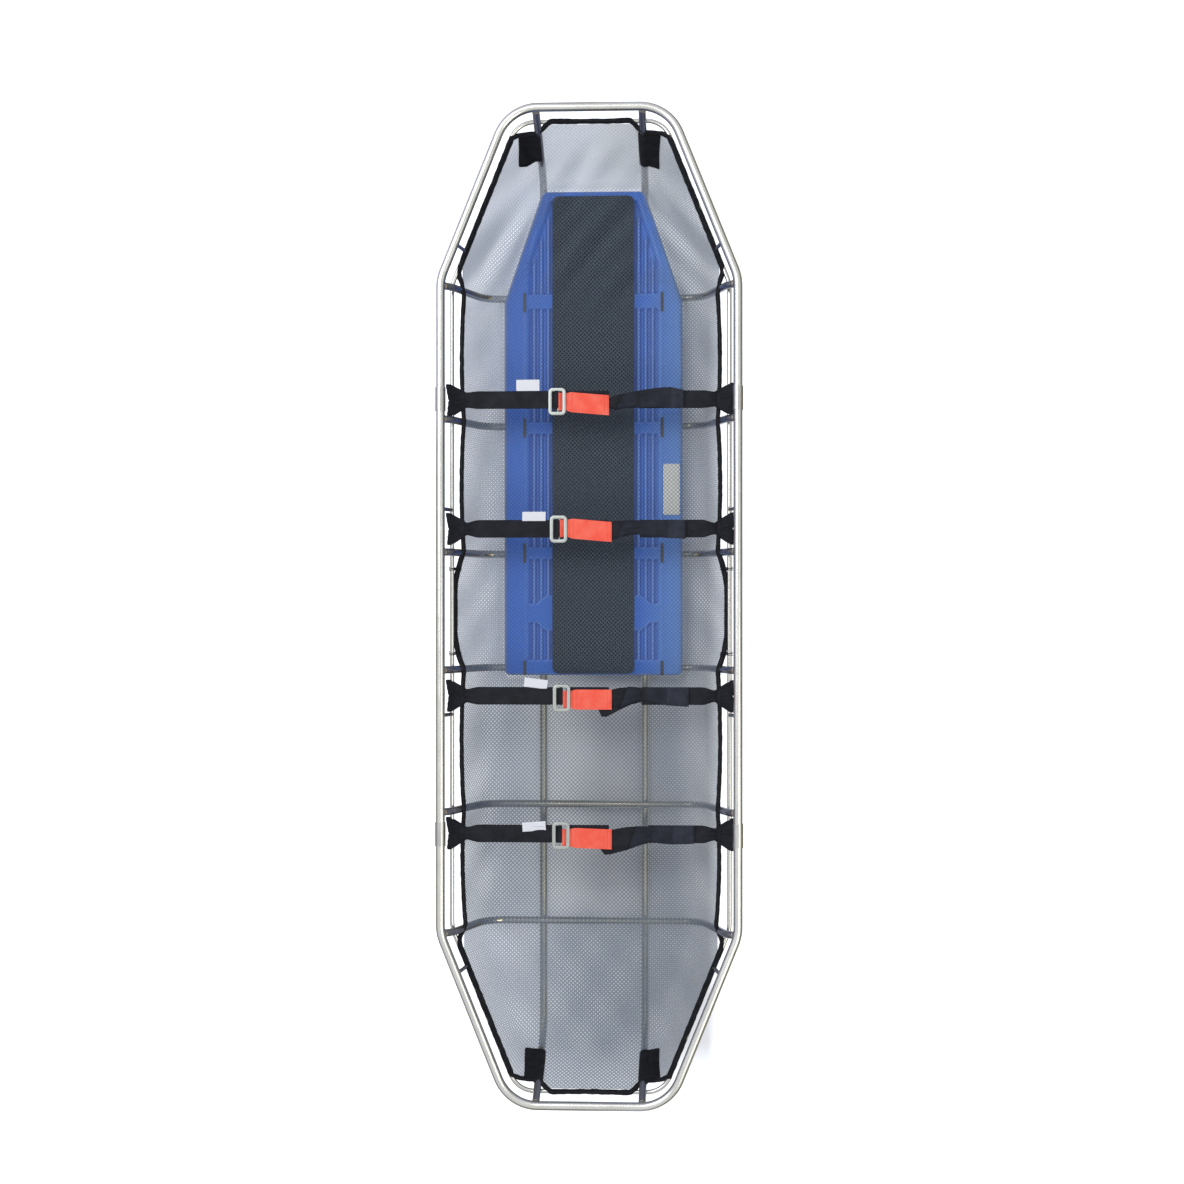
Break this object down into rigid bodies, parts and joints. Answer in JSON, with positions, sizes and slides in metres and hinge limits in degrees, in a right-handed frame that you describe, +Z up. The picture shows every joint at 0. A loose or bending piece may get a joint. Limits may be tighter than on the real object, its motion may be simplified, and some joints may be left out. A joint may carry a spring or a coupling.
{
  "type": "basket stretcher",
  "caption": "Rescue basket stretcher: bent tube frame on runners, knit net bed over a padded back board, and buckled patient straps that lift from the middle rail.",
  "frame": {"origin": "on the floor under the middle of the stretcher", "axes": "+Y towards the head end, +X to the right seen from above with the head end up, +Z up"},
  "size_m": [0.6532, 2.134, 0.2118],
  "materials": {
    "tube": "satin drawn tube",
    "net": "open knit mesh",
    "flap": "hook and loop",
    "board": "moulded, lightly textured",
    "keeper": "moulded nylon",
    "pad": "coated foam pad",
    "plate": "brushed, bare",
    "webbing": "woven webbing",
    "buckle": "stamped and plated",
    "tab": "woven webbing"
  },
  "bodies": {
    "frame": {"rail_head_bend": "tube", "rail_foot_bend": "tube", "rail_left_side": "tube", "rail_right_side": "tube", "sleeve_head_left": "tube", "sleeve_head_right": "tube", "sleeve_foot_left": "tube", "sleeve_foot_right": "tube", "middle_rail": "tube", "rib_1": "tube", "rib_2": "tube", "rib_3": "tube", "rib_4": "tube", "rib_5": "tube", "rib_6": "tube", "runner_left": "tube", "runner_right": "tube", "standoff_1": "tube", "standoff_2": "tube", "standoff_3": "tube", "standoff_4": "tube", "standoff_5": "tube", "standoff_6": "tube", "standoff_7": "tube", "standoff_8": "tube", "net": "net", "flap_head_left": "flap", "flap_head_right": "flap", "flap_foot_left": "flap", "flap_foot_right": "flap", "back_board": "board", "board_pad": "pad", "bare_plate": "plate", "board_keeper_1_left": "keeper", "board_keeper_1_right": "keeper", "board_keeper_2_left": "keeper", "board_keeper_2_right": "keeper", "board_keeper_3_left": "keeper", "board_keeper_3_right": "keeper", "board_keeper_4_left": "keeper", "board_keeper_4_right": "keeper"},
    "strap_1_left": {"strap_1_left_webbing": "webbing"},
    "strap_1_clasp": {"strap_1_buckle": "buckle", "strap_1_pull_tab": "tab"},
    "strap_1_right": {"strap_1_right_webbing": "webbing"},
    "strap_2_left": {"strap_2_left_webbing": "webbing"},
    "strap_2_clasp": {"strap_2_buckle": "buckle", "strap_2_pull_tab": "tab"},
    "strap_2_right": {"strap_2_right_webbing": "webbing"},
    "strap_3_left": {"strap_3_left_webbing": "webbing"},
    "strap_3_clasp": {"strap_3_buckle": "buckle", "strap_3_pull_tab": "tab"},
    "strap_3_right": {"strap_3_right_webbing": "webbing"},
    "strap_4_left": {"strap_4_left_webbing": "webbing"},
    "strap_4_clasp": {"strap_4_buckle": "buckle", "strap_4_pull_tab": "tab"},
    "strap_4_right": {"strap_4_right_webbing": "webbing"}
  },
  "joints": [
    {"name": "strap_1_left_swing", "type": "hinge", "parent": "frame", "child": "strap_1_left", "pos_m": [-0.29821, 0.444, 0.14565], "axis": [0, -1, 0], "range_deg": [0, 80]},
    {"name": "strap_1_clasp_tip", "type": "hinge", "parent": "strap_1_left", "child": "strap_1_clasp", "pos_m": [-0.09, 0.444, 0.14885], "axis": [0, -1, 0], "range_deg": [0, 75]},
    {"name": "strap_1_right_swing", "type": "hinge", "parent": "frame", "child": "strap_1_right", "pos_m": [0.29821, 0.444, 0.14565], "axis": [0, 1, 0], "range_deg": [0, 40]},
    {"name": "strap_2_left_swing", "type": "hinge", "parent": "frame", "child": "strap_2_left", "pos_m": [-0.29821, 0.167, 0.14565], "axis": [0, -1, 0], "range_deg": [0, 80]},
    {"name": "strap_2_clasp_tip", "type": "hinge", "parent": "strap_2_left", "child": "strap_2_clasp", "pos_m": [-0.09, 0.167, 0.14885], "axis": [0, -1, 0], "range_deg": [0, 75]},
    {"name": "strap_2_right_swing", "type": "hinge", "parent": "frame", "child": "strap_2_right", "pos_m": [0.29821, 0.167, 0.14565], "axis": [0, 1, 0], "range_deg": [0, 40]},
    {"name": "strap_3_left_swing", "type": "hinge", "parent": "frame", "child": "strap_3_left", "pos_m": [-0.29821, -0.192, 0.14565], "axis": [0, -1, 0], "range_deg": [0, 80]},
    {"name": "strap_3_clasp_tip", "type": "hinge", "parent": "strap_3_left", "child": "strap_3_clasp", "pos_m": [-0.085, -0.192, 0.14885], "axis": [0, -1, 0], "range_deg": [0, 75]},
    {"name": "strap_3_right_swing", "type": "hinge", "parent": "frame", "child": "strap_3_right", "pos_m": [0.29821, -0.192, 0.14565], "axis": [0, 1, 0], "range_deg": [0, 40]},
    {"name": "strap_4_left_swing", "type": "hinge", "parent": "frame", "child": "strap_4_left", "pos_m": [-0.29821, -0.488, 0.14565], "axis": [0, -1, 0], "range_deg": [0, 80]},
    {"name": "strap_4_clasp_tip", "type": "hinge", "parent": "strap_4_left", "child": "strap_4_clasp", "pos_m": [-0.085, -0.488, 0.14885], "axis": [0, -1, 0], "range_deg": [0, 75]},
    {"name": "strap_4_right_swing", "type": "hinge", "parent": "frame", "child": "strap_4_right", "pos_m": [0.29821, -0.488, 0.14565], "axis": [0, 1, 0], "range_deg": [0, 40]}
  ],
  "couplings": [
    {"joint": "strap_1_right_swing", "follows": "strap_1_left_swing", "ratio": 0.5},
    {"joint": "strap_2_right_swing", "follows": "strap_2_left_swing", "ratio": 0.5},
    {"joint": "strap_3_right_swing", "follows": "strap_3_left_swing", "ratio": 0.5},
    {"joint": "strap_4_right_swing", "follows": "strap_4_left_swing", "ratio": 0.5}
  ]
}
